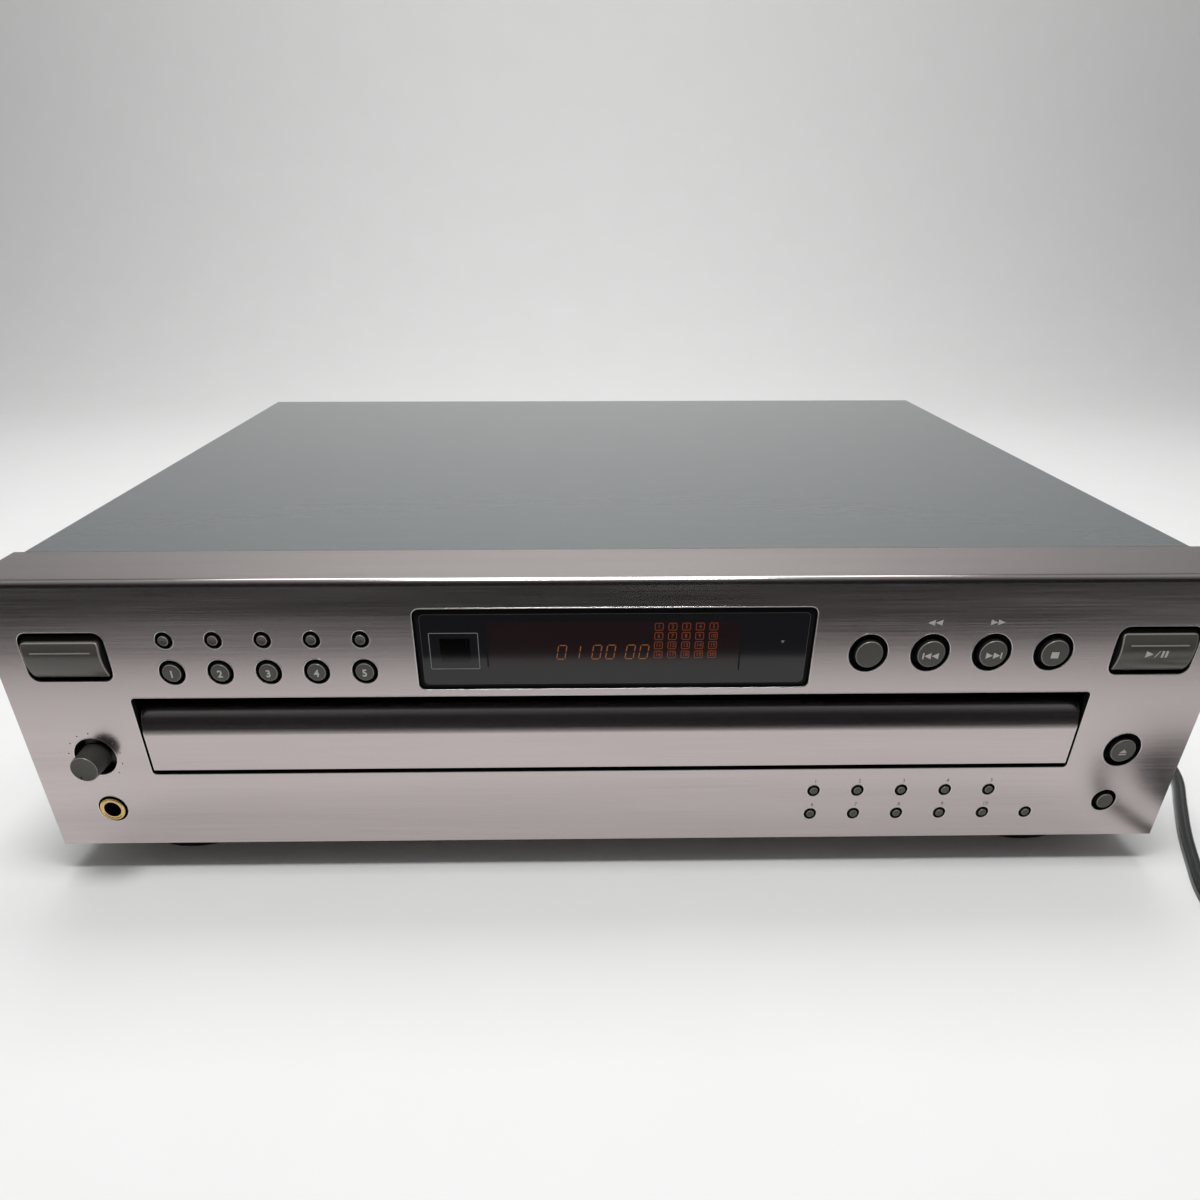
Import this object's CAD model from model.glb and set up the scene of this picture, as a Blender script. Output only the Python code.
# %% [markdown]
# A five-disc carousel changer in Blender
#
# The construction of this disc changer was made in a CAD program and packed with its joints. Here the
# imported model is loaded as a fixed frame. Every solid gets the finish of its real material, and the small
# things that a solid leaves out are added in mesh code: opening rims, printed figures, the display, screws
# and the mains lead. Nothing of the frame moves, so each new piece goes where the frame says.

from math import cos, hypot, pi, radians, sin, sqrt, tau

import bmesh
import bpy
from mathutils import Matrix, Vector


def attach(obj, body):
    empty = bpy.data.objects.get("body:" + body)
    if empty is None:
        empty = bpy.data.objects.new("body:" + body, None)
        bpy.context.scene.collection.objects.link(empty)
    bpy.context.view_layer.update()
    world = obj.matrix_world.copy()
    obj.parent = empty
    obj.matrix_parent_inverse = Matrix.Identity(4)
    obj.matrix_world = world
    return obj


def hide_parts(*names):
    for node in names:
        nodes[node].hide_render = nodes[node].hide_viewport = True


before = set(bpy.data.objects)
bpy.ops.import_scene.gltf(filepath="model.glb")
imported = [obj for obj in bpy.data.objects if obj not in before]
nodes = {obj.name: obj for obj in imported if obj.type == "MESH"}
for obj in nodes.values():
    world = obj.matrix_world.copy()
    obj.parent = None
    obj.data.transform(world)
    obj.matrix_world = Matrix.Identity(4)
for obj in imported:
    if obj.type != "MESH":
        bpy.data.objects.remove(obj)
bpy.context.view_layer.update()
# A new object shows only once it is linked to the scene's collection
link = bpy.context.scene.collection.objects.link

# %% [markdown]
# The case has its own way of counting: x to the right, y back from the front face and z up from the panel's
# underside, in millimetres. Blender counts in metres from the middle of the floor under the case. One short
# function turns the first into the second, so that every size below can be read as a maker would read it.

# %% From the case's millimetres to metres
MM = 0.001
FRONT_Y = -188
FOOT_H = 12


def in_case(x, y, z):
    """A point of the case, in millimetres from the front panel, as a point of the scene in metres."""
    return Vector((x, y + FRONT_Y, z + FOOT_H)) * MM


print("The panel's lower middle is at", tuple(round(c, 3) for c in in_case(0, 0, 0)))

# %% [markdown]
# The camera comes first, because the rest is compared through it. The picture was taken from close by and a
# little above, with a wide lens, so the front looks much broader than the back. The horizon lies far above
# the middle of the picture, which a vertical shift of the lens gives without turning the camera away.

# %% Camera
camera = bpy.data.objects.new("camera", bpy.data.cameras.new("camera"))
link(camera)
camera.location = (-0.01374, -0.48988, 0.21467)
camera.rotation_euler = (radians(55.946), 0, radians(-0.954))
camera.data.lens = 27.216
camera.data.shift_x = 0.0083
camera.data.shift_y = 0.2014
camera.data.clip_start = 0.01
bpy.context.scene.camera = camera
bpy.context.scene.view_settings.view_transform = "Standard"
print("The camera stands", round(camera.location.z, 3), "m above the table")

# %% [markdown]
# A finish is a node tree. Colours are written as a screen shows them, in hex, and one function turns them
# into the linear values that light is counted in. A second function adds a node: its own settings, the
# values of its sockets, and the links that reach them. Patterns are sized in millimetres: the third
# function gives the number of repeats in a metre, which is what a texture's scale means when its
# coordinates are metres.

# %% Helpers for finishes
def linear(code):
    """An sRGB hex colour as the linear colour that a shader's socket takes."""
    parts = [int(code[i:i + 2], 16) / 255 for i in (1, 3, 5)]
    return (*(p / 12.92 if p <= 0.04045 else ((p + 0.055) / 1.055) ** 2.4 for p in parts), 1)


def add(finish, kind, values=(), links=(), **settings):
    """Adds a node to a finish: settings of its own, values of its sockets, and links that reach them."""
    node = finish.node_tree.nodes.new("ShaderNode" + kind)
    for name, value in settings.items():
        setattr(node, name, value)
    for socket, value in dict(values).items():
        node.inputs[socket].default_value = value
    for socket, source in dict(links).items():
        finish.node_tree.links.new(source, node.inputs[socket])
    return node


def per_metre(*sizes):
    """How often a pattern of these sizes in millimetres repeats in a metre, along x, y and z."""
    return tuple(1 / (size * MM) for size in sizes)


def new_finish(name):
    """A finish with no nodes yet."""
    finish = bpy.data.materials.new(name)
    finish.use_nodes = True
    finish.node_tree.nodes.clear()
    return finish


def shade(finish, constants, links):
    """Ends a finish with its shader: constants go on its own sockets, and links reach the other ones."""
    shader = add(finish, "BsdfPrincipled", constants, links)
    add(finish, "OutputMaterial", links={"Surface": shader.outputs[0]})
    return finish


print("Mid grey #808080 is", round(linear("#808080")[0], 3), "in linear light")

# %% [markdown]
# Most parts of a player are moulded, plated, painted or punched, and differ in three things that a noise
# can give: two close tones, a range of roughness and a shallow relief. This function writes such a finish
# from the sizes of its grain. The finishes that the eye goes to first, such as the brushed panel, are
# written out on their own further down.

# %% A finish with a grain
def grained(name, tones, grain, rough, relief, detail=3, **constants):
    """A finish with two tones, a range of roughness and a relief in millimetres. Its grain has one size in
    millimetres, or three where it runs along an axis."""
    finish = new_finish(name)
    place = add(finish, "TexCoord")
    sizes = grain if isinstance(grain, tuple) else (grain,) * 3
    spread = add(finish, "Mapping", {"Scale": per_metre(*sizes)}, {"Vector": place.outputs["Object"]})
    noise = add(finish, "TexNoise", {"Scale": 1, "Detail": detail, "Roughness": 0.6},
                {"Vector": spread.outputs[0]})
    tone = add(finish, "Mix", {6: linear(tones[0]), 7: linear(tones[1])}, {0: noise.outputs[0]},
               data_type="RGBA")
    gloss = add(finish, "MapRange", {"To Min": rough[0], "To Max": rough[1]}, {"Value": noise.outputs[0]})
    bump = add(finish, "Bump", {"Strength": 1, "Distance": relief * MM}, {"Height": noise.outputs[0]})
    return shade(finish, {k.replace("_", " "): v for k, v in constants.items()}, {
        "Base Color": tone.outputs[2], "Roughness": gloss.outputs[0], "Normal": bump.outputs[0]})


# PVC of a mains lead, extruded: dark and glossy, so that each lobe draws a soft line of light
lead_pvc = grained("extruded_pvc_lead", ("#252627", "#323333"), 6, (0.07, 0.14), 0.004, IOR=1.53)
# The same PVC, moulded round the plug and the grip: a little rougher, from an etched mould
plug_pvc = grained("moulded_pvc_plug", ("#232425", "#2E2F2F"), 0.8, (0.42, 0.58), 0.02, IOR=1.53)
# Nickel-plated brass of the blades: bright and cool, with fine drawing lines along them
blade_nickel = grained("plated_nickel_blade", ("#B9B6AE", "#CCC9C1"), (0.6, 8, 0.6), (0.2, 0.34), 0.004,
                       Metallic=1)
# Black polyester of a tie, woven: dull, with a ribbed surface
tie_cloth = grained("woven_polyester_tie", ("#121213", "#1E1E20"), 0.7, (0.75, 0.9), 0.08, IOR=1.5)
print("First finishes:", lead_pvc.name, plug_pvc.name, blade_nickel.name, tie_cloth.name)

# %% [markdown]
# Every shape below is a loft: rings of points joined by quads. A turned part is a loft of circles, a plate
# is two outlines with caps, and a cord is one outline carried along a line. So one small function makes
# them all, and a second one turns a finished mesh into a piece that rides on a body of the frame. Faces
# that meet at less than 35 degrees are shaded as one smooth surface.

# %% Helpers for shapes
CREASE = radians(35)


def loft(shape, rings, round_trip=False, caps=True):
    """Joins rings of points with quads. A round trip joins the last ring to the first; caps close ends."""
    made = [[shape.verts.new(p) for p in ring] for ring in rings]
    count = len(made[0])
    for low, high in zip(made, made[1:] + (made[:1] if round_trip else [])):
        for i in range(count):
            shape.faces.new((low[i], low[(i + 1) % count], high[(i + 1) % count], high[i]))
    if caps and not round_trip:
        shape.faces.new(made[0][::-1])
        shape.faces.new(made[-1])


def keep(name, shape, body, finish, smooth=True):
    """Makes a piece of a shape: it rides on a body, and has a finish and the record's material slot."""
    bmesh.ops.recalc_face_normals(shape, faces=shape.faces)
    mesh = bpy.data.meshes.new(name)
    shape.to_mesh(mesh)
    shape.free()
    if smooth:
        mesh.shade_smooth()
        mesh.set_sharp_from_angle(angle=CREASE)
    mesh.materials.append(finish)
    piece = bpy.data.objects.new(name, mesh)
    link(piece)
    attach(piece, body)
    return piece


print("Shapes are lofts of rings")

# %% [markdown]
# The mains lead shows at the right edge of the picture, a flat twin lead that comes forward along the case.
# Its line repeats the route of the CAD model: straight out of the grip, down to the table, forward, and
# into a coil just outside the picture, because a lead that is put away is coiled and tied. The curve is a
# spline that passes through every point and has no kinks.

# %% The lead's line
LEAD_W, LEAD_H, REST = 5.2, 2.8, 1.5
lead_route = [(180, 214, 34), (180, 222, 34), (180.5, 234, 31.5), (183, 244, 25), (188, 253, 15.5),
              (196, 261.5, 7), (208, 267.5, 2.4)] + [(x, y, REST) for x, y in (
    (224, 269), (241, 265), (256, 255), (266, 241), (272, 222), (275, 198), (276, 174), (277, 149),
    (277.5, 123), (278, 96), (278.5, 68), (279, 40), (279, 12), (279, -16), (278, -42), (277, -64),
    (275.5, -83), (273, -102), (267, -126), (256, -149), (245, -172), (236, -194), (229, -213),
    (226, -231), (229, -248), (238, -262), (251, -272))]
plug_route = [(326.5, -250, 5.3), (331.5, -239, 6.5), (334.5, -228, 8.2), (335.5, -218, 9), (335.5, -212, 9)]
COIL_X, COIL_Y, COIL_START = 286, -243, 240
COIL_TURNS, TURN_BACK, CLIMB = 6.25, 3.25, 0.5
COIL_IN, COIL_PITCH, COIL_LAYER, COIL_RINGS = 21.5, 5.8, 3.5, 24


def coil_point(turn):
    """A point of the coil: it spirals in, climbs a layer where it turns back, and spirals out."""
    angle = radians(COIL_START + 360 * turn)
    reach = COIL_IN + COIL_PITCH * abs(turn - TURN_BACK)
    climb = max(0, min(1, (turn - TURN_BACK) / CLIMB + 0.5))
    return (COIL_X + reach * cos(angle), COIL_Y + reach * sin(angle),
            REST + COIL_LAYER * (1 - cos(pi * climb)) / 2)


def smooth_line(points, steps):
    """A smooth curve through the points, with this many steps between each pair."""
    line, p = [], [Vector(q) for q in points]
    for i in range(len(p) - 1):
        a, b, c, d = p[max(0, i - 1)], p[i], p[i + 1], p[min(len(p) - 1, i + 2)]
        for t in (k / steps for k in range(steps)):
            line.append((2 * b + (c - a) * t + (2 * a - 5 * b + 4 * c - d) * t ** 2
                         + (3 * b - a - 3 * c + d) * t ** 3) / 2)
    return line + [p[-1]]


LEAD_STEPS = 4
coil = [Vector(coil_point(i / COIL_RINGS)) for i in range(int(COIL_TURNS * COIL_RINGS) + 1)]
free = smooth_line(lead_route[1:] + coil[:2], LEAD_STEPS)[:-LEAD_STEPS - 1]
tail = smooth_line(coil[-2:] + plug_route[:-1], LEAD_STEPS)[LEAD_STEPS + 1:]
lead_line = [Vector(lead_route[0])] + free + coil + tail + [Vector(plug_route[-1])]
lead_length = sum((b - a).length for a, b in zip(lead_line, lead_line[1:]))
print("The lead is", round(lead_length), "mm long")

# %% [markdown]
# The lead's section is two round lobes with a groove between them, which is what catches the light as a
# thin line along it. The outline lies flat along the line: its side runs level, across the heading at each
# point.

# %% The lead
LOBE_R = LEAD_H / 2
LOBE_X = (LEAD_W - LEAD_H) / 2
GROOVE, LOBE_TURN, LOBE_STEPS = 0.86, 115, 10
lobe = []
for i in range(LOBE_STEPS + 1):
    a = radians(-LOBE_TURN + 2 * LOBE_TURN * i / LOBE_STEPS)
    lobe.append((LOBE_X + LOBE_R * cos(a), LOBE_R * sin(a)))
section = lobe + [(0, GROOVE)] + [(-x, -y) for x, y in lobe] + [(0, -GROOVE)]


def carried(line, outline):
    """Rings of an outline that lies flat along a line, in metres."""
    rings = []
    for i, p in enumerate(line):
        ahead = (line[min(i + 1, len(line) - 1)] - line[max(i - 1, 0)]).normalized()
        side = ahead.cross(Vector((0, 0, 1))).normalized()
        up = side.cross(ahead)
        rings.append([(p + side * x + up * y) * MM for x, y in outline])
    return rings


shape = bmesh.new()
loft(shape, carried(lead_line, section))
mains_lead = keep("mains_lead", shape, "chassis", lead_pvc)
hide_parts("power_cord", "cord_coil")
print("The lead has", len(mains_lead.data.polygons), "faces")

# %% [markdown]
# The plug and the grip are moulded onto the lead. The plug swells from the lead to a head that a hand can
# hold, with three grooves for the fingers, and two flat blades with a bevelled tip. The grip where the lead
# leaves the case is a tapered sleeve with rings cut into it, so that it bends without a kink.

# %% Plug, grip and tie
def rounded_outline(w, h, r, steps=6):
    """Points of a rounded rectangle with the outward direction at each: (x, z, out x, out z)."""
    points = []
    for k, (cx, cz) in enumerate(((1, 1), (-1, 1), (-1, -1), (1, -1))):
        for i in range(steps + 1):
            a = pi / 2 * (k + i / steps)
            points.append((cx * (w / 2 - r) + r * cos(a), cz * (h / 2 - r) + r * sin(a), cos(a), sin(a)))
    return points


PLUG_BACK, PLUG_W, PLUG_H, PLUG_R, PLUG_SLOPE, PLUG_L = 12, 24, 18, 5, 20, 34
plug_at = Vector(plug_route[-1])
shape = bmesh.new()
rings = []
for y, cut in ((0, 1.2), (0.8, 0), (4, 0), (4.6, 0.7), (6, 0.7), (6.6, 0), (9, 0), (9.6, 0.7), (11, 0.7),
               (11.6, 0), (14, 0), (14.6, 0.7), (16, 0.7), (16.6, 0), (20, 0), (32.6, 0), (33.6, 0.4),
               (34, 1.4)):
    share = min(1, y / PLUG_SLOPE)
    w = PLUG_BACK + (PLUG_W - PLUG_BACK) * share - 2 * cut
    h = PLUG_BACK + (PLUG_H - PLUG_BACK) * share - 2 * cut
    rings.append([(plug_at + Vector((x, y, z))) * MM for x, z, _, _ in rounded_outline(w, h, PLUG_R - cut)])
loft(shape, rings)
plug_body = keep("plug_body", shape, "chassis", plug_pvc)
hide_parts("mains_plug")

BLADE_GAP, BLADE_W, BLADE_T, BLADE_R, BLADE_L, BLADE_TIP = 12.7, 6.3, 1.5, 0.25, 16, 1.5
shape = bmesh.new()
for side in (-1, 1):
    rings = []
    tip = PLUG_L + BLADE_L
    for y, thin, narrow in ((PLUG_L - 1, 0, 0), (tip - BLADE_TIP, 0, 0), (tip, 0.45, 1.2)):
        outline = rounded_outline(BLADE_T - 2 * thin, BLADE_W - 2 * narrow, BLADE_R, 2)
        rings.append([(plug_at + Vector((side * BLADE_GAP / 2 + x, y, z))) * MM for x, z, _, _ in outline])
    loft(shape, rings)
plug_blades = keep("plug_blades", shape, "chassis", blade_nickel)


def turned(shape, centre, axis, profile, steps=48, round_trip=False):
    """A turned form: a profile of (radius, distance along the axis) in millimetres, round a case point.
    A radius may also be a function of the angle, for a recess that isn't round."""
    axis = Vector(axis)
    side = axis.orthogonal().normalized() if abs(axis.y) < 0.5 else Vector((1, 0, 0))
    up = axis.cross(side)
    rings = []
    for r, h in profile:
        reach = r if callable(r) else lambda a, r=r: r
        rings.append([centre + (axis * h + (side * cos(a) + up * sin(a)) * reach(a)) * MM
                      for a in (tau * i / steps for i in range(steps))])
    loft(shape, rings, round_trip)


BACK, UP = (0, 1, 0), (0, 0, 1)


def turned_piece(name, body, finish, centre, axis, profile, steps=48, round_trip=False):
    """A piece of one turned form."""
    shape = bmesh.new()
    turned(shape, centre, axis, profile, steps, round_trip)
    return keep(name, shape, body, finish)


GRIP_X, GRIP_Z, GRIP_L, CASE_D = 180, 22, 24, 378
COLLAR_R, GRIP_RINGS, RING_START, RING_PITCH, TAPER = 8.5, 6, 4.2, 3.1, 0.11
sleeve = [(COLLAR_R, -0.4), (COLLAR_R, 0), (COLLAR_R, 2.6), (8.1, 3), (6.4, 3)]
for i in range(GRIP_RINGS):
    y = RING_START + RING_PITCH * i
    wide = 6.5 - TAPER * (y - 2)
    sleeve += [(wide, y), (wide - 0.05, y + 1.7), (wide - 1.2, y + 1.9), (wide - 1.25, y + 2.9)]
sleeve += [(4.2, GRIP_L - 1), (3.9, GRIP_L - 0.2), (3.4, GRIP_L)]
lead_grip = turned_piece("lead_grip", "chassis", plug_pvc, in_case(GRIP_X, CASE_D, GRIP_Z),
                         BACK, sleeve)
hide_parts("cord_grip")

TIE_W, TIE_T, TIE_TOP, TIE_TURN = 6, 0.5, 7, radians(150)
tie_in = COIL_IN - LEAD_W / 2 - 0.6
tie_out = COIL_IN + COIL_PITCH * TURN_BACK + LEAD_W / 2 + 0.8
reach = Vector((cos(TIE_TURN), sin(TIE_TURN), 0))
across = Vector((-sin(TIE_TURN), cos(TIE_TURN), 0))
middle = Vector((COIL_X, COIL_Y, 0)) + reach * (tie_in + tie_out) / 2 + Vector((0, 0, TIE_TOP / 2))
loop = rounded_outline(tie_out - tie_in, TIE_TOP, TIE_W / 2)
rings = [[(middle + reach * (x + nx * t) + Vector((0, 0, z + nz * t)) + across * w) * MM
          for x, z, nx, nz in loop]
         for t, w in ((0, -TIE_W / 2), (0, TIE_W / 2), (-TIE_T, TIE_W / 2), (-TIE_T, -TIE_W / 2))]
shape = bmesh.new()
loft(shape, rings, round_trip=True)
coil_tie = keep("coil_tie", shape, "chassis", tie_cloth)

print("The plug is", PLUG_L, "mm long and the grip", GRIP_L, "mm")

# %% [markdown]
# The front panel and the drawer's front are aluminium that was brushed from side to side and then anodised
# in a warm titanium tone. Brushing leaves fine parallel scratches, which blur a reflection up and down far
# more than sideways. So the shader is anisotropic, with its tangent running round the panel's long axis,
# and a noise stretched along x gives streaks of tone, gloss and relief. A photograph would tile and can't
# follow the rolled edges, and a noise in the object's own coordinates does.

# %% Brushed titanium
def brushed(name, dark, light, rough):
    """Brushed and anodised aluminium, with brush lines along x and a few pin-sized marks of use."""
    finish = new_finish(name)
    place = add(finish, "TexCoord").outputs["Object"]
    # Real brush lines are about 0.05 mm wide, drawn here at 0.5 mm so that they show
    fine = add(finish, "Mapping", {"Scale": per_metre(60, 0.5, 0.5)}, {"Vector": place})
    lines = add(finish, "TexNoise", {"Scale": 1, "Detail": 4, "Roughness": 0.65}, {"Vector": fine.outputs[0]})
    # Broader bands, where the brush pressed harder
    broad = add(finish, "Mapping", {"Scale": per_metre(260, 14, 14)}, {"Vector": place})
    bands = add(finish, "TexNoise", {"Scale": 1, "Detail": 2}, {"Vector": broad.outputs[0]})
    both = add(finish, "Math", {}, {0: lines.outputs[0], 1: bands.outputs[0]}, operation="ADD")
    # The sum of two noises stays close to 1, and is stretched to the full range
    half = add(finish, "MapRange", {"From Min": 0.6, "From Max": 1.4}, {"Value": both.outputs[0]})
    tone = add(finish, "Mix", {6: linear(dark), 7: linear(light)}, {0: half.outputs[0]}, data_type="RGBA")
    # Pin-sized marks, in about one cell in seven of 26 mm
    cells = add(finish, "TexVoronoi", {"Scale": per_metre(26)[0]}, {"Vector": place})
    near = add(finish, "Math", {1: 0.017}, {0: cells.outputs["Distance"]}, operation="LESS_THAN")
    pick = add(finish, "SeparateColor", {}, {"Color": cells.outputs["Color"]})
    some = add(finish, "Math", {1: 0.15}, {0: pick.outputs[0]}, operation="LESS_THAN")
    mark = add(finish, "Math", {}, {0: near.outputs[0], 1: some.outputs[0]}, operation="MULTIPLY")
    worn = add(finish, "Mix", {7: linear("#57514F")}, {0: mark.outputs[0], 6: tone.outputs[2]},
               data_type="RGBA")
    gloss = add(finish, "MapRange", {"To Min": rough[0], "To Max": rough[1]}, {"Value": half.outputs[0]})
    bump = add(finish, "Bump", {"Strength": 0.6, "Distance": 0.006 * MM}, {"Height": lines.outputs[0]})
    way = add(finish, "Tangent", direction_type="RADIAL", axis="X")
    return shade(finish, {"Metallic": 1, "Anisotropic": 0.5}, {
        "Base Color": worn.outputs[2], "Roughness": gloss.outputs[0], "Normal": bump.outputs[0],
        "Tangent": way.outputs[0]})


# Titanium-toned anodised aluminium, brushed: soft vertical reflections with a fine sideways grain
titanium = brushed("brushed_anodised_titanium", "#B6ACAB", "#CCC2C1", (0.14, 0.25))
# The same metal where a cutter left a bright chamfer: smooth, paler, a thin line of light
cut_edge = grained("cut_bright_aluminium", ("#C9C4C2", "#DAD6D4"), 4, (0.16, 0.26), 0.002, Metallic=1)
print("Made", titanium.name, "and", cut_edge.name)

# %% [markdown]
# The cover is thin sheet steel with a baked satin paint in a neutral grey. It is seen at a low angle, so
# most of what reaches the eye is the pale room mirrored in the paint, which a dielectric shader gives by
# itself. The paint has a faint sideways grain from the rolled sheet under it, and small dents of orange
# peel.

# %% Other finishes of the case
# Baked satin paint on rolled sheet: smooth, a soft mirror at a low angle, with a fine sideways grain
cover_paint = grained("baked_satin_paint_cover", ("#5C6061", "#666A6B"), (45, 0.6, 0.6), (0.14, 0.22), 0.003,
                      IOR=1.5)
# The same paint on the rear panel, rougher and darker
rear_paint = grained("baked_matt_paint_rear", ("#2C2D2E", "#343536"), 0.9, (0.45, 0.6), 0.02, IOR=1.5)
# Zinc-plated steel of the pan: cool grey with a patchy, slightly blue passivation
pan_zinc = grained("zinc_plated_steel_pan", ("#8F938F", "#A9ABA4"), 18, (0.3, 0.5), 0.01, Metallic=1)
# Bare rolled steel of brackets and the deck, with lines along the sheet
deck_steel = grained("rolled_steel_bracket", ("#8B8C8B", "#A3A4A2"), (20, 0.8, 0.8), (0.28, 0.42), 0.006,
                     Metallic=1)
# ABS keys, moulded and lightly etched: warm dark grey with a satin sheen
key_plastic = grained("moulded_abs_key", ("#4E4C47", "#5A5852"), 0.5, (0.2, 0.28), 0.004, IOR=1.54)
# The keys' edges, which fingers have polished: paler and smoother, so they draw a thin bright line
key_worn = grained("finger_polished_abs_edge", ("#8A8880", "#9C9A92"), 0.5, (0.12, 0.2), 0.002, IOR=1.54)
# Black rubbery moulding of the keys' flanges and stems: it swallows the light that falls into the gaps
key_black = grained("moulded_black_key_frame", ("#060606", "#0B0B0B"), 0.8, (0.7, 0.85), 0.01, IOR=1.4)
# The knob is the keys' plastic with a coarser etch
knob_plastic = grained("etched_abs_knob", ("#4B4A45", "#575650"), 0.7, (0.4, 0.52), 0.01, IOR=1.52)
# The knob's ribbed side, where fingers leave a dark film: much darker than the face
knob_grip = grained("ribbed_abs_knob_side", ("#242422", "#2E2D2A"), 0.7, (0.45, 0.6), 0.01, IOR=1.5)
# Rubbery black plastic of the feet
foot_plastic = grained("moulded_black_plastic_foot", ("#101010", "#191919"), 1.2, (0.5, 0.65), 0.02,
                       IOR=1.5)
# Black-zinced steel screws
screw_black = grained("black_zinc_screw", ("#2A2A2B", "#39393A"), 1.5, (0.3, 0.45), 0.006, Metallic=1)
# Gold-toned brass of the jack, turned and lacquered: bright with faint rings
jack_brass = grained("turned_brass_jack", ("#D0AE70", "#E2C58A"), 0.9, (0.08, 0.16), 0.003, Metallic=1)
# Nickel-plated line sockets
socket_nickel = grained("plated_nickel_socket", ("#B7B6B1", "#C9C8C3"), 2, (0.14, 0.26), 0.003, Metallic=1)
# Glass-fibre circuit board with a green lacquer
board_green = grained("lacquered_circuit_board", ("#2F4A2C", "#3D5C38"), 2.2, (0.28, 0.45), 0.01,
                      IOR=1.55)
# Varnished core of the transformer
core_iron = grained("varnished_core_iron", ("#4A423B", "#62574D"), (8, 0.5, 0.5), (0.4, 0.6), 0.02,
                    Metallic=0.6)
# Black polystyrene of the loader, tray and carousel: moulded with a fine spark-eroded texture
loader_plastic = grained("moulded_black_polystyrene", ("#1B1B1B", "#262626"), 0.5, (0.42, 0.55), 0.012,
                         IOR=1.59)
# Natural acetal of the gears: ivory, waxy
gear_acetal = grained("moulded_acetal_gear", ("#D8D3C3", "#E6E2D4"), 3, (0.3, 0.42), 0.006, IOR=1.48)
# Drawn and plated steel of motor cans
motor_steel = grained("drawn_steel_motor_can", ("#A3A39E", "#B8B8B3"), (1, 1, 12), (0.22, 0.34), 0.004,
                      Metallic=1)
print("The case has its finishes")

# %% [markdown]
# The window is smoked acrylic: almost black, polished, with a mirror-like face. The keys' figures are
# printed in off-white ink, and the display behind the window glows in a dim amber through a dark red
# filter. Light that a piece gives off is set on the shader's emission sockets.

# %% Window, ink and display
# Smoked acrylic, polished: near black with sharp reflections, and a grey trace of haze from wiping
smoked = grained("polished_smoked_acrylic", ("#1D1D1F", "#242427"), (60, 25, 25), (0.035, 0.09), 0, IOR=1.49)
# Black print behind the window's bevelled edge: no reflection of the room at all
edge_black = grained("printed_black_edge", ("#070708", "#0B0B0C"), 2, (0.6, 0.75), 0.002, IOR=1.3)
# Dark brown filter film in front of the display tube
filter_film = grained("tinted_filter_film", ("#271D1F", "#2D2022"), (40, 20, 20), (0.05, 0.1), 0, IOR=1.49)
# Off-white screen-printing ink: matt, a little uneven at its edges
white_ink = grained("screen_printed_ink", ("#C4C3BE", "#D6D5D0"), 0.6, (0.5, 0.65), 0.004, IOR=1.5)
# Grey ink on the bright panel, thin and worn
grey_ink = grained("worn_grey_ink", ("#77716E", "#8D8683"), 0.6, (0.45, 0.6), 0.003, IOR=1.5)
# Pale line printed on the window
line_ink = grained("thin_line_ink", ("#8C8F8F", "#9EA1A1"), 0.8, (0.35, 0.5), 0.002, IOR=1.5)
# Moulded step inside the window's edge: it only shows as a faint grey line
step_grey = grained("moulded_step_line", ("#3E3E41", "#4C4C4F"), 3, (0.3, 0.4), 0.002, IOR=1.49)
# Black filter of the remote sensor, glossier than the window round it
sensor_black = grained("infrared_filter_acrylic", ("#040404", "#080707"), 20, (0.04, 0.08), 0, IOR=1.49)
# Lit phosphor behind the filter: amber for the figures, redder for the boxes
AMBER, DIM_AMBER = 0.3, 0.27
amber = grained("lit_amber_phosphor", ("#3A1E08", "#46260C"), 2, (0.2, 0.3), 0, IOR=1.49,
                Emission_Color=linear("#DE8436"), Emission_Strength=AMBER)
dim_amber = grained("dim_amber_phosphor", ("#301405", "#3A1A08"), 2, (0.2, 0.3), 0, IOR=1.49,
                    Emission_Color=linear("#D0602E"), Emission_Strength=DIM_AMBER)
print("The display glows at", AMBER, "and", DIM_AMBER)

# %% [markdown]
# Now each solid of the frame gets its finish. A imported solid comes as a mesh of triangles. It is shaded
# smooth up to the same angle, so that a turned part looks round and a folded edge stays crisp. A finish is
# put in the object's material slot; the vertices aren't touched.

# %% Finishes of the solids
finishes = {
    titanium: ["front_panel", "drawer_front"], cover_paint: ["top_cover"], rear_paint: ["rear_panel"],
    pan_zinc: ["chassis_pan"], deck_steel: ["clamper_bridge", "traverse_base"], smoked: ["display_window"],
    knob_plastic: ["level_knob"], foot_plastic: ["feet"], screw_black: ["case_screws"],
    jack_brass: ["phones_jack"], socket_nickel: ["line_sockets"], board_green: ["front_board", "main_board"],
    core_iron: ["transformer"], loader_plastic: ["loader_frame", "tray", "carousel", "clamper",
                                                 "spindle_platter", "pickup"],
    gear_acetal: ["motor_pinion", "drive_gear", "carousel_pinion"],
    motor_steel: ["loading_motor", "carousel_motor"], plug_pvc: ["cord_grip", "mains_plug"],
    lead_pvc: ["power_cord", "cord_coil"], key_black: [name for name in nodes if "_key" in name],
}
dressed = 0
for finish, names in finishes.items():
    for name in names:
        mesh = nodes[name].data
        mesh.materials.clear()
        mesh.materials.append(finish)
        mesh.shade_smooth()
        mesh.set_sharp_from_angle(angle=CREASE)
        dressed += 1


def add_finish(piece, finish, chosen):
    """Gives a piece one more finish, on the faces that a test of their middle and their normal picks."""
    piece.data.materials.append(finish)
    for face in piece.data.polygons:
        if chosen(face.center / MM, face.normal):
            face.material_index = len(piece.data.materials) - 1


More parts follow.
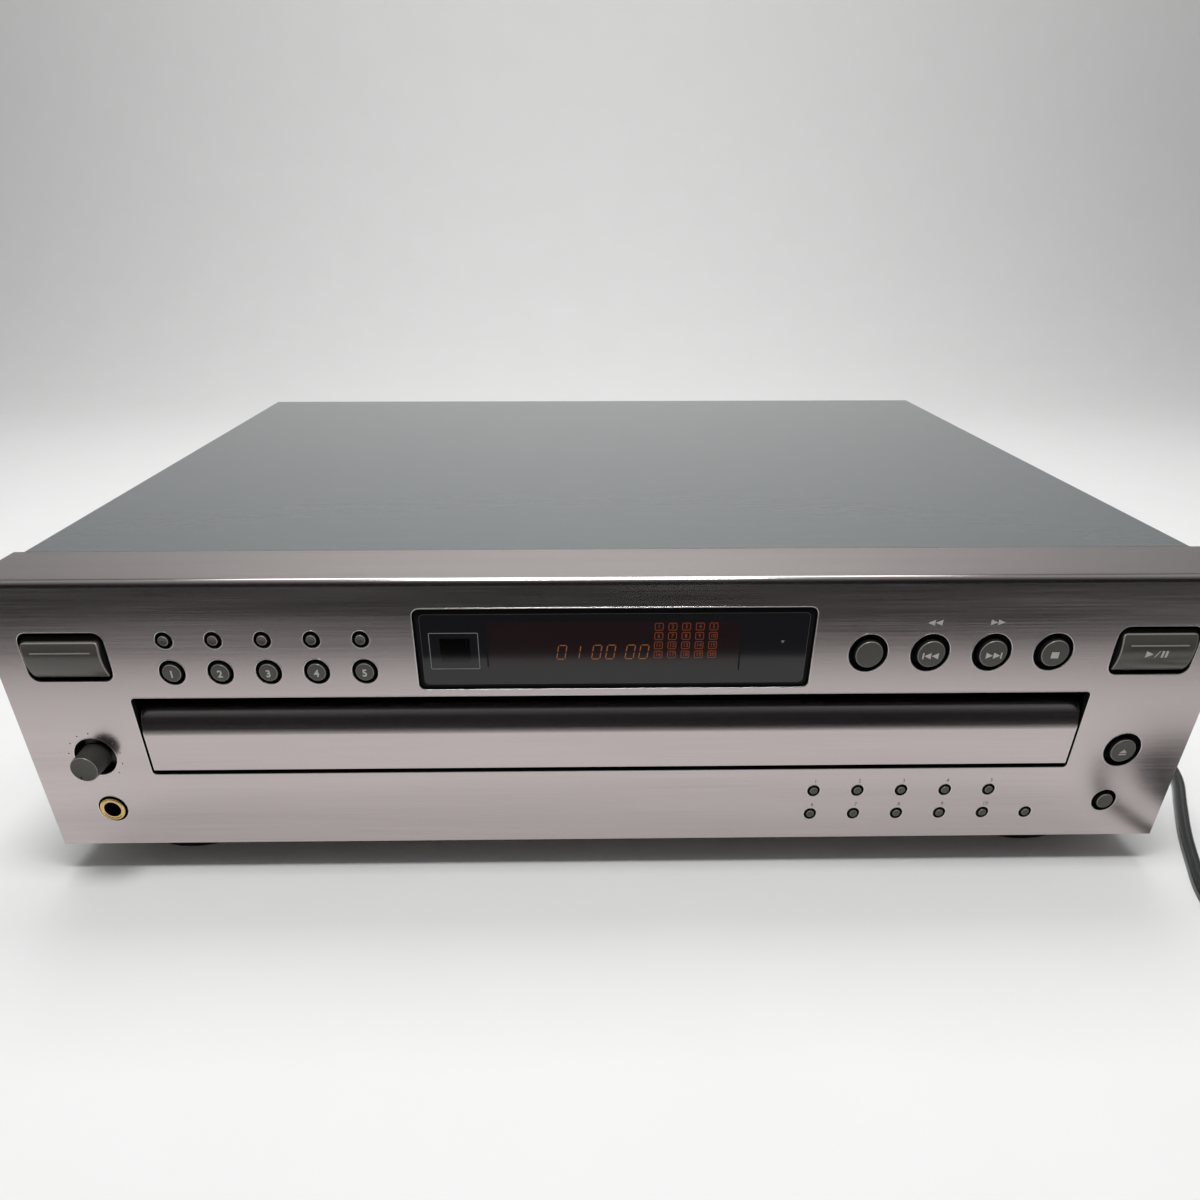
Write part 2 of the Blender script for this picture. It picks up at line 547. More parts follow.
# Behind its ring the jack is black plastic, and the window's bevelled edge is printed black
add_finish(nodes["phones_jack"], key_black, lambda middle, normal: middle.y > FRONT_Y + 0.5)
add_finish(nodes["display_window"], edge_black, lambda middle, normal: normal.y > -0.98)
# The walls of the panel's openings lie in the dark and keep the black of the punching oil and dust
WALL_HALF, WALL_LOW, WALL_HIGH, SHEET = 212, 5, 100, 3
add_finish(nodes["front_panel"], key_black, lambda middle, normal: (
    abs(normal.y) < 0.1 and abs(middle.x) < WALL_HALF and 0.2 < middle.y - FRONT_Y < SHEET
    and WALL_LOW < middle.z - FOOT_H < WALL_HIGH))
print(dressed, "of", len(nodes), "solids are dressed")

# %% [markdown]
# Every opening in the panel has a small rolled edge, pressed before the panel was brushed, and it shows as
# a thin bright line round each key. The solid has plain holes, so the edge is a ring that lies round the
# mouth of the opening: an outline of the opening, with a narrow section carried round it. The section is
# low and round, so some part of it always faces the light. The same function makes the frame round the
# window and the edge of the drawer's opening, where the section is smaller.

# %% Opening rims
def rim(shape, x, z, outline, section):
    """A closed ring round an outline in the panel: section gives (outward, y) in millimetres."""
    loft(shape, [[in_case(x + px + nx * out, y, z + pz + nz * out) for px, pz, nx, nz in outline]
                 for out, y in section], round_trip=True)


row_x = [-156.54 + 17 * i for i in range(5)]
transport_x = [89.82 + 22.02 * i for i in range(4)]
track_keys = [(78.2 + 17.1 * i, 21.6) for i in range(5)] + [(78.2 + 17.1 * i, 11.1) for i in range(6)]
ROW_Z, MODE_Z, TRANSPORT_Z, EJECT_Z, TIME_Z, KNOB_Z, JACK_Z = 72.5, 84.4, 78.1, 38.5, 16.2, 39, 16.3
SIDE_X, BIG_X, BIG_Z = 193.6, 192.2, 78.3
DISC_HOLE, MODE_HOLE, WIDE_HOLE, TRACK_HOLE = 9.2, 6, 13.9, 4.9
TIME_HOLE, KNOB_HOLE, JACK_HOLE = 9.4, 15.2, 11
WINDOW_Z, SLOT_Z = 80.1, 46.9
round_openings = ([(x, ROW_Z, DISC_HOLE) for x in row_x] + [(x, MODE_Z, MODE_HOLE) for x in row_x]
                  + [(x, TRANSPORT_Z, WIDE_HOLE) for x in transport_x]
                  + [(x, z, TRACK_HOLE) for x, z in track_keys]
                  + [(SIDE_X, EJECT_Z, WIDE_HOLE), (SIDE_X, TIME_Z, TIME_HOLE),
                     (-SIDE_X, KNOB_Z, KNOB_HOLE), (-SIDE_X, JACK_Z, JACK_HOLE)])
rolled = [(-0.04, 0.25), (-0.04, 0.12), (0, 0.03), (0.1, -0.04), (0.24, -0.07), (0.36, -0.04), (0.42, 0.03),
          (0.42, 0.1), (0.04, 0.25)]
shape = bmesh.new()
for x, z, d in round_openings:
    rim(shape, x, z, rounded_outline(d, d, d / 2, 12), rolled)
for x in (-BIG_X, BIG_X):
    rim(shape, x, BIG_Z, rounded_outline(29.5, 18, 3.5), rolled)
rim(shape, 0, WINDOW_Z, rounded_outline(140, 29.8, 2.5), rolled)
rim(shape, 0, SLOT_Z, rounded_outline(348.6, 31.4, 1.6), [(out * 0.7 + 0.05, y * 0.7) for out, y in rolled])
keep("opening_rims", shape, "chassis", cut_edge)
print(len(round_openings) + 4, "openings have rims")

# %% [markdown]
# The drawer's front is cut from a long extruded profile, flat below and rolled back at the top. The saw
# leaves a bright edge at both ends, which draws the profile as a thin line of light. It is a narrow strip
# that is carried along the same profile, and it rides on the drawer.

# %% Cut ends of the drawer's front
FRONT_HALF, FRONT_LOW, ROLL_Z, ROLL_R, ROLL_TURN = 173.4, 33, 47.6, 12, radians(57.5)
profile = [(0, FRONT_LOW + 0.3, 0), (0, 40, 0)] + [
    (ROLL_R * (1 - cos(a)), ROLL_Z + ROLL_R * sin(a), a) for a in (ROLL_TURN * i / 14 for i in range(15))]
shape = bmesh.new()
for side in (-1, 1):
    loft(shape, [[in_case(side * (FRONT_HALF + dx), y + dy * cos(a), z - dy * sin(a))
                  for dx, dy in ((-0.3, -0.02), (-0.05, -0.04), (0.04, 0.06), (0.04, 0.4), (-0.3, 0.4))]
                 for y, z, a in profile])
keep("drawer_ends", shape, "drawer", cut_edge)
print("The roll's radius is", ROLL_R, "mm")

# %% [markdown]
# The round keys are small caps of satin plastic. What makes them readable in the picture is their edge: a
# fillet of about half a millimetre that years of fingers have polished, round a flat or slightly dished
# face. It has a paler, smoother finish of its own, on the faces that look neither forward nor sideways.
# Each cap is turned, sits on the front of the solid key and rides with it. Round and behind it the solid is
# black, as the moulding behind such keys is, and the gap looks deep.

# %% Caps of the round keys
CAP = 0.3
key_faces = {}


def cap(key, x, z, d, face, dish=0.0):
    """A turned cap on the front of a round key, with a polished rounded edge and a dished face."""
    r, y = d / 2, face - CAP
    key_faces[key] = y + dish
    piece = turned_piece(key.replace("key", "cap"), key, key_plastic, in_case(x, 0, z), BACK, [
        (r, face + 0.5), (r, y + 0.4), (r - 0.07, y + 0.2), (r - 0.2, y + 0.07), (r - 0.38, y), (r - 0.5, y),
        (r * 0.45, y + dish * 0.8), (r * 0.15, y + dish)])
    add_finish(piece, key_worn, lambda middle, normal: -0.93 < normal.y < -0.2)


for i, x in enumerate(row_x):
    cap(f"disc_key_{i + 1}", x, ROW_Z, 6.4, -0.7)
    cap(f"mode_key_{i + 1}", x, MODE_Z, 3.5, -0.7, 0.2)
for name, x in zip(("skip", "search_back", "search_forward", "stop"), transport_x):
    cap(name + "_key", x, TRANSPORT_Z, 9.6, -1.4)
cap("open_close_key", SIDE_X, EJECT_Z, 9.2, -0.8)
cap("time_key", SIDE_X, TIME_Z, 6, -0.8, 0.1)
for i, (x, z) in enumerate(track_keys):
    cap(f"track_key_{i + 1}", x, z, 2.9, -0.3, 0.1)
print(len(key_faces), "round keys have caps")

# %% [markdown]
# Figures and signs are printed, so each one is a very thin plate on the face that carries it. Plain figures
# come from Blender's own font, turned into a mesh and put in place with a matrix, so that the same function
# prints on an upright panel and on the level carousel. The signs are drawn from their corner points.

# %% Helpers for print
INK = 0.03
# How much of its line a figure of Blender's font fills
FIGURE_SHARE = 0.72


def plate(shape, outline, y, thick=INK):
    """A thin plate on a face at depth y, from the corner points (x, z) of its outline."""
    loft(shape, [[in_case(x, y + t, z) for x, z in outline] for t in (0.02, -thick)])


def printed(name, body, finish, outlines, y, thick=INK):
    """A piece of thin plates on a face at depth y."""
    shape = bmesh.new()
    for outline in outlines:
        plate(shape, outline, y, thick)
    keep(name, shape, body, finish, smooth=False)


def upright(x, y, z):
    """The place of a print with its middle at a case point, facing forward."""
    return Matrix.Translation(in_case(x, y, z)) @ Matrix.Rotation(pi / 2, 4, "X")


def figures(shape, text, height, place, bold=0.0):
    """A plain number of a height in millimetres, at a place in the scene."""
    curve = bpy.data.curves.new("figures", "FONT")
    curve.body, curve.size = text, height / FIGURE_SHARE * MM
    curve.align_x, curve.align_y = "CENTER", "CENTER"
    curve.extrude, curve.offset, curve.resolution_u = INK * MM, bold * MM, 4
    holder = bpy.data.objects.new("figures", curve)
    link(holder)
    mesh = bpy.data.meshes.new_from_object(holder.evaluated_get(bpy.context.evaluated_depsgraph_get()))
    mesh.transform(place)
    shape.from_mesh(mesh)
    bpy.data.objects.remove(holder)


def arrow(x, z, w, h):
    """Corner points of an arrow head that points along x, or back where w is negative."""
    return [(x - w / 2, z - h / 2), (x + w / 2, z), (x - w / 2, z + h / 2)]


def bar(x, z, w, h):
    """Corner points of an upright bar."""
    return [(x - w / 2, z - h / 2), (x + w / 2, z - h / 2), (x + w / 2, z + h / 2), (x - w / 2, z + h / 2)]


print("Print is", INK, "mm thick")

# %% [markdown]
# The five disc keys carry the figures 1 to 5, and the transport keys the usual signs: a bar and two arrows
# for a skip, a square for stop, and an arrow on a bar for the drawer. They are printed in off-white ink
# after moulding, a little below the middle of each face, and they ride with their key.

# %% Signs on the round keys
for i, x in enumerate(row_x):
    key = f"disc_key_{i + 1}"
    shape = bmesh.new()
    figures(shape, str(i + 1), 2.6, upright(x, key_faces[key], ROW_Z - 0.4), 0.1)
    keep(f"disc_figure_{i + 1}", shape, key, white_ink, smooth=False)

SIGN_DROP = 0.6
signs = {
    "search_back": [bar(-2.85, 0, 0.5, 2.3), arrow(-1.3, 0, -2.45, 2.3), arrow(1.35, 0, -2.45, 2.3)],
    "search_forward": [arrow(-1.35, 0, 2.45, 2.3), arrow(1.3, 0, 2.45, 2.3), bar(2.85, 0, 0.5, 2.3)],
    "stop": [bar(0, 0, 2.7, 2.3)],
    "open_close": [[(-1.4, -0.2), (1.4, -0.2), (0.15, 1.3)], bar(-0.1, -0.85, 2.8, 0.45)],
}
for (name, outlines), x, z in zip(signs.items(), transport_x[1:] + [SIDE_X], [TRANSPORT_Z] * 3 + [EJECT_Z]):
    key = name + "_key"
    printed(name + "_sign", key, white_ink,
            [[(x + px, z - SIGN_DROP + pz) for px, pz in outline] for outline in outlines], key_faces[key])
print("Signs are on", len(row_x) + len(signs), "keys")

# %% [markdown]
# The power and play keys are crowned: their face is part of a wide cylinder, with rounded edges all round.
# The face's depth at a height follows from the crown's radius. The power key also leans out at the top, so
# that a finger finds it. A cap is a loft of level slices from the lower edge to the upper one. The slices
# near the edges step back, which rounds them, and get shorter at the corners. The cap is smaller than the
# black solid behind it, most of all at the top, where the picture shows a broad dark gap.

# %% Caps of the crowned keys
BIG_W, BIG_H, BIG_R, BIG_SAG, BIG_PROUD = 26.6, 15.2, 1.3, 2.4, 1.5
BIG_LOW, BIG_FOOT = -7.7, 2.6
FILLET = [(0, 0.5), (0.07, 0.28), (0.2, 0.1), (0.38, 0.02), (0.55, 0)]
FILLET_W, SLICES = FILLET[-1][0], 16
crown_r = ((BIG_H / 2) ** 2 + BIG_SAG ** 2) / 2 / BIG_SAG


def crown_y(z, lean):
    """Depth of a crowned key's cap at height z. The upper edge leans out by a distance."""
    sag = crown_r - sqrt(crown_r ** 2 - (z - BIG_Z) ** 2)
    return sag - BIG_PROUD - CAP - lean * ((z - BIG_Z) / BIG_H + 0.5)


POWER_LEAN, PLAY_LEAN = 1.5, 0.3
big_keys = (("power", -BIG_X, POWER_LEAN, 6.1), ("play", BIG_X, PLAY_LEAN, 6.5))
for name, x, lean, top in big_keys:
    levels = [(BIG_LOW + inset, back) for inset, back in FILLET]
    flat = top - BIG_LOW - 2 * FILLET_W
    levels += [(BIG_LOW + FILLET_W + flat * i / SLICES, 0) for i in range(1, SLICES)]
    levels += [(top - inset, back) for inset, back in FILLET[::-1]]
    rings = []
    for z, back in levels:
        over = max(0, z - top + BIG_R, BIG_LOW + BIG_R - z)
        half = BIG_W / 2 - BIG_R + sqrt(max(0, BIG_R ** 2 - over ** 2))
        y = crown_y(BIG_Z + z, lean) + back
        side = [(half, BIG_FOOT)] + [(half - inset, y + out) for inset, out in FILLET]
        side += [(-px, py) for px, py in side[::-1]]
        rings.append([in_case(x + px, py, BIG_Z + z) for px, py in side])
    shape = bmesh.new()
    loft(shape, rings)
    add_finish(keep(name + "_cap", shape, name + "_key", key_plastic), key_worn,
               lambda middle, normal: normal.y < -0.2 and (
                   normal.z > 0.62 or normal.z < -0.82 or abs(normal.x) > 0.3))
print("The crown's radius is", round(crown_r, 1), "mm")

# %% [markdown]
# Each crowned key has a thin raised line for the fingertip, and the play key the signs for play and pause.
# Both have to follow the crown, so a plate is cut into low strips between the two sides of its outline.

# %% Raised lines and the play sign
def crowned_plate(shape, outline, lean, thick=INK, strips=7):
    """A thin plate on a crowned face: low strips between the two sides of a convex outline."""
    zs = [z for _, z in outline]
    low, high = min(zs), max(zs)
    rings = []
    for i in range(strips + 1):
        z = low + (high - low) * min(0.999, max(0.001, i / strips))
        cuts = []
        for (ax, az), (bx, bz) in zip(outline, outline[1:] + outline[:1]):
            if (az - z) * (bz - z) < 0:
                cuts.append(ax + (bx - ax) * (z - az) / (bz - az))
        left, right, y = min(cuts), max(cuts), crown_y(z, lean)
        rings.append([in_case(x, y + t, z)
                      for x, t in ((left, 0.03), (right, 0.03), (right, -thick), (left, -thick))])
    loft(shape, rings)


RIDGE_W, RIDGE_Z, RIDGE_H, RIDGE_T = 20.6, 80.9, 0.42, 0.4
for name, x, lean, _ in big_keys:
    shape = bmesh.new()
    crowned_plate(shape, bar(x, RIDGE_Z, RIDGE_W, RIDGE_H), lean, RIDGE_T, 3)
    keep(name + "_ridge", shape, name + "_key", key_worn)
shape = bmesh.new()
slash = [(-0.75, -1.25), (-0.4, -1.25), (0.95, 1.25), (0.6, 1.25)]
for outline in (arrow(-2.6, 0, 2.9, 2.5), slash, bar(2, 0, 0.85, 2.5), bar(3.4, 0, 0.85, 2.5)):
    crowned_plate(shape, [(BIG_X + px, BIG_Z - SIGN_DROP + pz) for px, pz in outline], PLAY_LEAN)
keep("play_sign", shape, "play_key", white_ink, smooth=False)
print("The raised lines are", RIDGE_W, "mm long")

# %% [markdown]
# The panel itself carries little print: two double arrows for the search keys, the figures 1 to 10 at the
# track keys and a scale of dots round the level knob. The figures are in thin grey ink that has worn, so
# they hardly show on the bright metal.

# %% Print on the panel
ARROW_Z, ARROW_W, ARROW_H = 89.1, 2.5, 2
printed("search_arrows", "chassis", white_ink, [
    arrow(x - 0.4 + step, ARROW_Z, ARROW_W * way, ARROW_H)
    for x, way in ((transport_x[1], -1), (transport_x[2], 1)) for step in (-1.28, 1.28)], 0)
DOTS, DOT_REACH, DOT_R, DOT_STEPS = 11, 9.6, 0.28, 10
shape = bmesh.new()
for i, (x, z) in enumerate(track_keys[:10]):
    figures(shape, str(i + 1), 1.6, upright(x + 0.3, 0, z + 4.1))
for i in range(DOTS):
    angle = radians(-135 + 27 * i)
    dot_x, dot_z = -SIDE_X + DOT_REACH * sin(angle), KNOB_Z + DOT_REACH * cos(angle)
    plate(shape, [(dot_x + DOT_R * cos(a), dot_z + DOT_R * sin(a))
                  for a in (tau * k / DOT_STEPS for k in range(DOT_STEPS))], 0)
keep("panel_figures", shape, "chassis", grey_ink, smooth=False)
print("The panel carries figures 1 to 10 and a scale of dots")

# %% [markdown]
# Behind the window a display tube shows plain figures and a calendar of twenty boxes, one for each track.
# All of it sits on the window's face as very thin plates, with the window's own gloss, because that looks
# the same as a display seen through a dark filter and keeps the window one solid. The figures are made of
# straight bars, like those of a real tube, and they lean a little.

# %% Display
GLASS_Y = 0.2
printed("display_filter", "chassis", filter_film, [bar(-0.2, 81.9, 88.8, 16.4)], GLASS_Y,
        0.012)
printed("tube_ends", "chassis", edge_black,
        [bar(-44.8, 81.3, 0.45, 15), bar(44.2, 80.9, 0.5, 17.7)], GLASS_Y, 0.02)

SEGMENTS = {"0": "abcdef", "1": "bc"}
SEG_W, SEG_H, SEG_T, SEG_GAP, LEAN = 2.9, 5.1, 0.3, 0.3, 0.16


def bar_figure(shape, figure, x, z):
    """One leaning figure of straight bars, with its lower left corner at (x, z)."""
    half = SEG_H / 2
    ends = {"a": ((0, SEG_H), (SEG_W, SEG_H)), "d": ((0, 0), (SEG_W, 0)),
            "f": ((0, half), (0, SEG_H)), "b": ((SEG_W, half), (SEG_W, SEG_H)),
            "e": ((0, 0), (0, half)), "c": ((SEG_W, 0), (SEG_W, half))}
    for name in SEGMENTS[figure]:
        (ax, az), (bx, bz) = ends[name]
        dx, dz = bx - ax, bz - az
        length = hypot(dx, dz)
        ux, uz = dx / length, dz / length
        gap, wide = SEG_GAP, SEG_T / 2
        points = [(ax + ux * gap - uz * wide, az + uz * gap + ux * wide),
                  (bx - ux * gap - uz * wide, bz - uz * gap + ux * wide),
                  (bx - ux * gap + uz * wide, bz - uz * gap - ux * wide),
                  (ax + ux * gap + uz * wide, az + uz * gap - ux * wide)]
        plate(shape, [(x + px + LEAN * pz, z + pz) for px, pz in points], GLASS_Y)


FIGURE_Z = 76.5
shape = bmesh.new()
for figure, x in zip("010000", (-20.5, -15.6, -8.2, -3.3, 3.6, 8.4)):
    bar_figure(shape, figure, x, FIGURE_Z)
keep("display_figures", shape, "chassis", amber, smooth=False)


def line_frame(shape, x, z, w, h, r, wide):
    """A printed line round a rounded rectangle on the window's face."""
    rim(shape, x, z, rounded_outline(w, h, r, 3),
        [(0, GLASS_Y - INK), (0, GLASS_Y), (-wide, GLASS_Y), (-wide, GLASS_Y - INK)])


shape = bmesh.new()
BOXES, BOX_PITCH_X, BOX_PITCH_Z = 20, 4.76, 3.4
for number in range(BOXES):
    x, z = 15.3 + BOX_PITCH_X * (number % 5), 88.2 - BOX_PITCH_Z * (number // 5)
    line_frame(shape, x, z, 3, 2.7, 0.5, 0.2)
    figures(shape, str(number + 1), 1.4, upright(x, GLASS_Y, z))
keep("display_calendar", shape, "chassis", dim_amber, smooth=False)
print("The display has 6 figures and", BOXES, "boxes")

# %% [markdown]
# The rest of the window is plain: a printed frame round the remote sensor, whose own filter is the blackest
# thing on the front, a small mark where the standby light shows, and the moulded step inside the bevelled
# edge.

# %% Marks on the window
shape = bmesh.new()
line_frame(shape, -56.35, 79.7, 17.3, 13.4, 0.4, 0.22)
keep("sensor_frame", shape, "chassis", line_ink, smooth=False)
EYE_W, EYE_H = 10.6, 8.9
printed("sensor_eye", "chassis", sensor_black, [bar(-56, 79.9, EYE_W, EYE_H)], GLASS_Y,
        0.015)
printed("standby_mark", "chassis", line_ink, [[(58.3, 82.9), (59.6, 82.9), (58.95, 81.9)]],
        GLASS_Y, 0.02)
shape = bmesh.new()
line_frame(shape, 0, WINDOW_Z, 135.4, 25.9, 1.6, 0.16)
keep("window_step", shape, "chassis", step_grey, smooth=False)
print("The sensor's filter is", EYE_W, "mm wide")

# %% [markdown]
# The jack's mouth is a turned brass ring with a rounded lip and a black throat, where a plug finds its way
# in. The knob is a turned cap with fine ribs along its side, a raised edge round its face and one small
# notch that shows where it points. A rib is a radius that rises and falls with the angle. Both are turned
# over the solids, and the knob's pieces ride with the knob.

# %% Jack and knob
LIP_R, RING_STEPS = 4.7, 64
jack_middle = in_case(-SIDE_X, 0, JACK_Z)
turned_piece("jack_lip", "chassis", jack_brass, jack_middle, BACK, [
    (3.35, 2), (3.35, -0.15), (3.5, -0.5), (3.75, -0.78), (4, -0.92), (4.2, -0.95), (4.45, -0.85),
    (4.62, -0.62), (LIP_R, -0.3), (LIP_R, 2)], RING_STEPS, round_trip=True)
turned_piece("jack_throat", "chassis", key_black, jack_middle, BACK, [
    (3.38, -0.1), (3.3, -0.2), (3.21, -0.1), (3.19, 1.5), (3.38, 1.5)], RING_STEPS, round_trip=True)

KNOB_OUT, FACE_OUT, NOTCH_TURN = 10, 10.04, radians(210)
RIBS, RIB_H = 48, 0.05


def ribbed(r):
    """A radius with ribs, as a function of the angle."""
    return lambda angle: r + RIB_H * cos(RIBS * angle)


knob_middle = in_case(-SIDE_X, 0, KNOB_Z)
knob_cap = turned_piece("knob_cap", "level_knob", knob_plastic, knob_middle, BACK, [
    (ribbed(5.25), 1.45), (ribbed(4.88), -KNOB_OUT + 0.9), (4.9, -KNOB_OUT + 0.4), (4.83, -KNOB_OUT + 0.15),
    (4.67, -FACE_OUT), (4.4, -KNOB_OUT - 0.1), (4.25, -KNOB_OUT - 0.08), (4.15, -FACE_OUT), (1, -FACE_OUT)],
    4 * RIBS)
add_finish(knob_cap, key_worn, lambda middle, normal: -0.88 < normal.y < -0.5)
add_finish(knob_cap, knob_grip, lambda middle, normal: abs(normal.y) < 0.2)
c, s = cos(NOTCH_TURN), sin(NOTCH_TURN)
printed("knob_notch", "level_knob", key_black, [[
    (-SIDE_X + px * c + pz * s, KNOB_Z - px * s + pz * c)
    for px, pz in ((-0.3, 3.4), (0.3, 3.4), (0.3, 4.1), (-0.3, 4.1))]], -FACE_OUT)
print("The jack's lip is", 2 * LIP_R, "mm across")

# %% [markdown]
# The feet are round and hollow, and stand on a rim. The solid feet taper a little, and a moulded skirt
# round each one makes the side straight down to the table, so that the front feet just show under the
# panel's edge.

# %% Skirts of the feet
FOOT_X, FOOT_YS = 175.5, (41, 328)
shape = bmesh.new()
for x in (-FOOT_X, FOOT_X):
    for y in FOOT_YS:
        turned(shape, in_case(x, y, -FOOT_H), UP, [
            (23.4, 0.3), (25.7, 0), (26.2, 0.5), (26.2, 9), (25.9, 9.6), (24.5, 9.6)], 72, round_trip=True)
keep("foot_skirts", shape, "chassis", foot_plastic)
print("Four feet have skirts")

# %% [markdown]
# Steel screws hold the cover and the rear panel. A screw's head is turned, and the cross in it is pressed.
# Its outline is a plus sign, which can be written as a distance from the middle at every angle, so the same
# turning function makes it: a round head whose inner rings follow the plus sign.

# %% Screws
CROSS_W, CROSS_L = 1.1, 3.6


def plus_sign(scale):
    """Distance from the middle to the edge of a plus sign, at an angle."""
    def reach(angle):
        c, s = abs(cos(angle)), abs(sin(angle))
        long, short = max(c, s), min(c, s)
        wide, far = CROSS_W / 2 * scale, CROSS_L / 2 * scale
        return wide / short if short * far / long > wide else far / long
    return reach


def screw(shape, centre, axis):
    """A pan head with a pressed cross and a shank, along an axis that points out of the case."""
    turned(shape, centre, axis, [
        (1.4, -5), (1.5, -4.6), (1.5, 0), (3.5, 0), (3.5, 0.7), (3.3, 1.2), (2.7, 1.55), (2.2, 1.62),
        (plus_sign(1), 1.6), (plus_sign(0.6), 0.5)], 72)


COVER_HALF, REAR_HALF = 215.5, 214.2
shape = bmesh.new()
for side in (-1, 1):
    for y in (69.5, 316):
        screw(shape, in_case(side * COVER_HALF, y, 20), (side, 0, 0))
for share in (-0.89, -0.28, 0.28, 0.7):
    screw(shape, in_case(share * REAR_HALF, CASE_D, 8), BACK)
case_screws = keep("cover_screws", shape, "chassis", screw_black)
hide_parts("case_screws")
print("Eight screws are in place")

# %% [markdown]
# At the back each line socket has a coloured plastic ring, white for left and red for right, and a turned
# nickel sleeve. The rings are moulded, the sleeves are turned and plated.

# %% Line sockets
ring_white = grained("moulded_white_abs", ("#D5D2C8", "#E2DFD6"), 0.8, (0.35, 0.5), 0.01, IOR=1.52)
ring_red = grained("moulded_red_abs", ("#8E1F1C", "#A22822"), 0.8, (0.35, 0.5), 0.01, IOR=1.52)
SOCKET_Z = 48
for name, x, finish in (("left", -142.5, ring_white), ("right", -157.5, ring_red)):
    at = in_case(x, CASE_D, SOCKET_Z)
    turned_piece(f"socket_ring_{name}", "chassis", finish, at, BACK, [
        (4.2, -0.3), (6.05, -0.3), (6.05, 0.9), (5.8, 1.15), (4.45, 1.15), (4.2, 0.9)], round_trip=True)
    turned_piece(f"socket_sleeve_{name}", "chassis", socket_nickel, at, BACK, [
        (1.62, 7.2), (1.62, 7.95), (2.9, 7.95), (3.05, 8.0), (3.9, 8.0), (4.17, 7.8), (4.17, 7), (4.17, 1),
        (1.62, 1)], round_trip=True)
print("Two sockets have rings and sleeves")

# %% [markdown]
# Inside the drawer a turned cap covers the carousel's axle, and each seat has a plain figure between the
# cap and the disc. It reads upright when that seat is at the front, so a person who loads discs can tell
# which is which. These pieces ride on the carousel and turn with it.

# %% Carousel
CAROUSEL_Y, CAROUSEL_TOP, FIGURE_R, SEATS = 171, 49.1, 28, 5
carousel_middle = in_case(0, CAROUSEL_Y, CAROUSEL_TOP)
turned_piece("carousel_cap", "carousel", loader_plastic, carousel_middle, UP, [
    (11, -0.1), (11, 1.1), (10.3, 1.7), (6, 2.2), (5.6, 2.0), (5.2, 1.3), (3.4, 1.3), (3.2, 2.1), (2.6, 2.5),
    (2.1, 2.55), (plus_sign(0.9), 2.5), (plus_sign(0.5), 1.5)], 72)
shape = bmesh.new()
for i in range(SEATS):
    turn = radians(90 + 360 / SEATS * i)
    at = in_case(FIGURE_R * cos(turn), CAROUSEL_Y + FIGURE_R * sin(turn), CAROUSEL_TOP)
    figures(shape, str(i + 1), 8, Matrix.Translation(at) @ Matrix.Rotation(turn + pi / 2, 4, "Z"), 0.1)
keep("seat_figures", shape, "carousel", white_ink, smooth=False)
print("The carousel has a cap and five figures")

# %% [markdown]
# The table is a plain pale sheet that curves up behind the case, as in a photographer's light tent. In
# front of the table's edge the room was dark, which is why the top of the brushed panel and the drawer's
# rolled edge look dark. A black card in front of the table, seen by reflections alone, gives the same.

# %% Table
paper = grained("pale_paper_sweep", ("#F0F0EF", "#F4F4F3"), 60, (0.85, 0.95), 0, IOR=1.3)
SWEEP_Y, SWEEP_R = 0.9, 0.5
ROOM = 3
sweep = [(-ROOM, 0)] + [(SWEEP_Y + SWEEP_R * sin(a), SWEEP_R * (1 - cos(a)))
                     for a in (pi / 2 * i / 12 for i in range(13))] + [(SWEEP_Y + SWEEP_R, ROOM)]


def stage_sheet(name, line, half, finish):
    """A sheet of the stage: a line of (y, z) points carried from -half to half, in metres."""
    mesh = bpy.data.meshes.new(name)
    mesh.from_pydata([(x, y, z) for y, z in line for x in (-half, half)], [],
                     [(2 * i, 2 * i + 1, 2 * i + 3, 2 * i + 2) for i in range(len(line) - 1)])
    mesh.shade_smooth()
    mesh.materials.append(finish)
    sheet = bpy.data.objects.new(name, mesh)
    link(sheet)
    return sheet


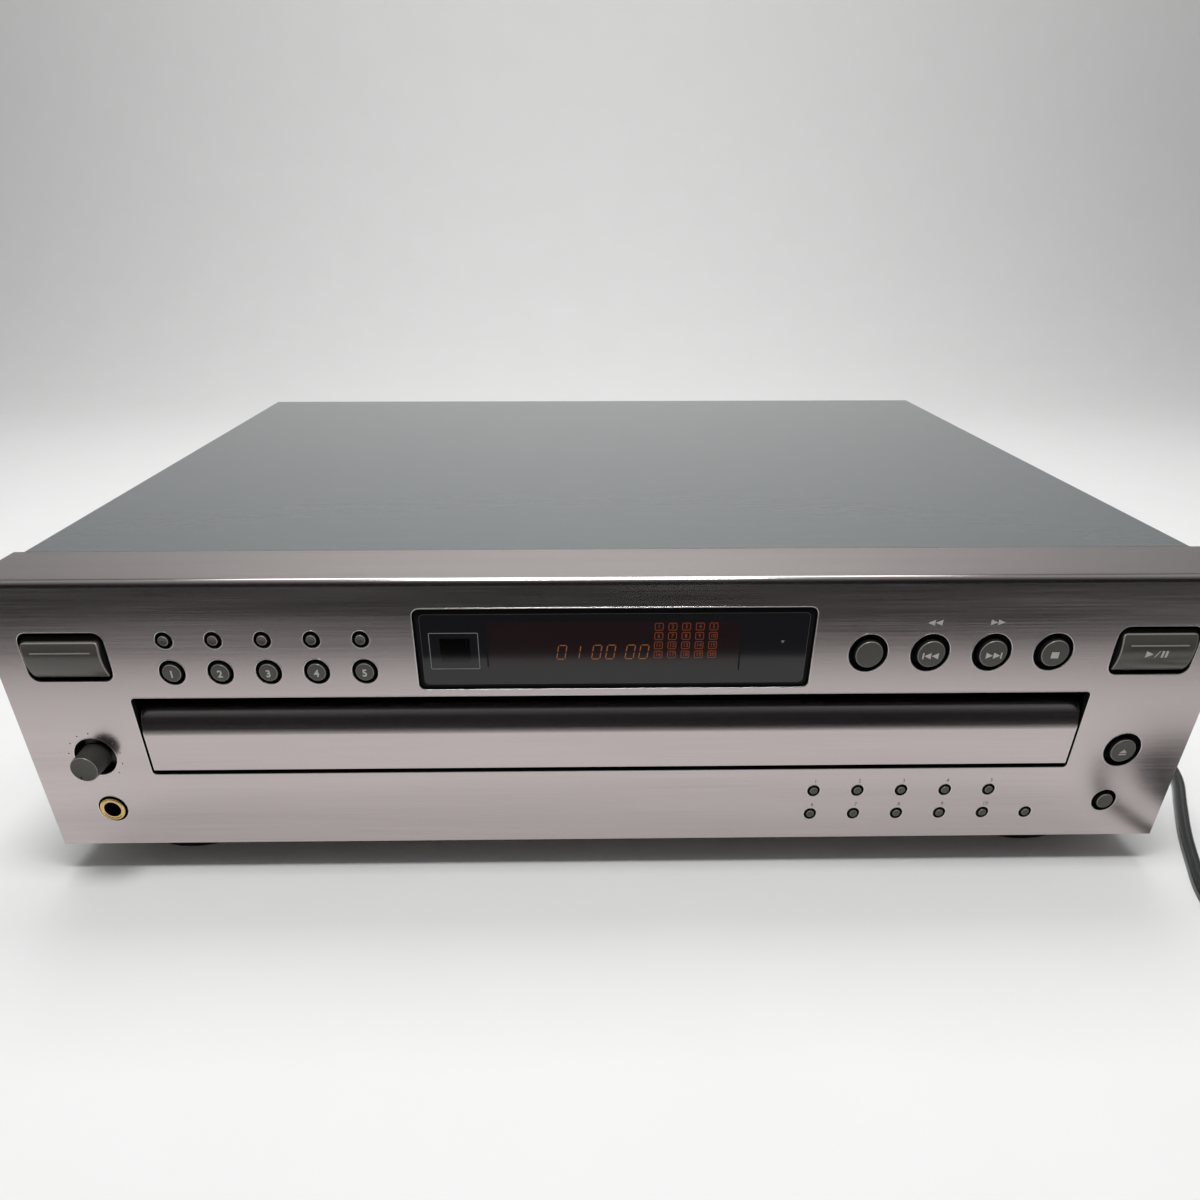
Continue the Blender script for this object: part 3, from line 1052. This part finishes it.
stage_sheet("table", sweep, ROOM, paper)
CARD_Y, CARD_H, CARD_HALF = -0.402, 0.26, 1.5
card_black = grained("black_card", ("#1E1E21", "#242427"), 30, (0.9, 0.95), 0, IOR=1.3)
card = stage_sheet("dark_room_card", [(CARD_Y, 0), (CARD_Y, CARD_H)], CARD_HALF, card_black)
card.visible_camera = card.visible_diffuse = card.visible_shadow = card.visible_transmission = False
print("The table and the card are set")

# %% [markdown]
# The light is plain: a pale tent that is open and dim towards the front, and two soft lamps. The front lamp
# hangs straight over the panel, so the table is lit right up to the case and the shadow under it is short
# and dark. The back lamp lights the sheet behind and the cover. The level leaves the pale paper a little
# under white. Where the camera looks past the table, as it does from behind, it sees a plain pale wall
# instead of the dim front.

# %% Light
world = bpy.data.worlds.new("tent")
world.use_nodes = True
way = add(world, "SeparateXYZ", {}, {0: add(world, "TexCoord").outputs["Generated"]})
back = add(world, "MapRange", {"From Min": -0.8, "From Max": 0.1}, {"Value": way.outputs["Y"]},
           interpolation_type="SMOOTHSTEP")
room = add(world, "Mix", {6: linear("#5A5B5E"), 7: linear("#F2F3F4")}, {0: back.outputs[0]}, data_type="RGBA")
sky = world.node_tree.nodes["Background"]
sky.inputs["Strength"].default_value = 0.46
world.node_tree.links.new(room.outputs[2], sky.inputs["Color"])
seen = add(world, "LightPath")
pale = add(world, "Background", {"Color": linear("#DADCDB"), "Strength": 1})
view = add(world, "MixShader", {}, {0: seen.outputs["Is Camera Ray"], 1: sky.outputs[0], 2: pale.outputs[0]})
world.node_tree.links.new(view.outputs[0], world.node_tree.nodes["World Output"].inputs["Surface"])
bpy.context.scene.world = world
for name, size, energy, place in (("front_lamp", (0.5, 0.3), 9.5, (0, -0.26, 1.3)),
                                  ("back_lamp", (1.2, 0.7), 8.5, (0, 0.5, 1.2))):
    lamp = bpy.data.objects.new(name, bpy.data.lights.new(name, "AREA"))
    lamp.data.shape, lamp.data.size, lamp.data.size_y = "RECTANGLE", *size
    lamp.data.energy = energy
    lamp.location = place
    link(lamp)
    print(name, "is", size, "m and hangs", place[2], "m over the table")
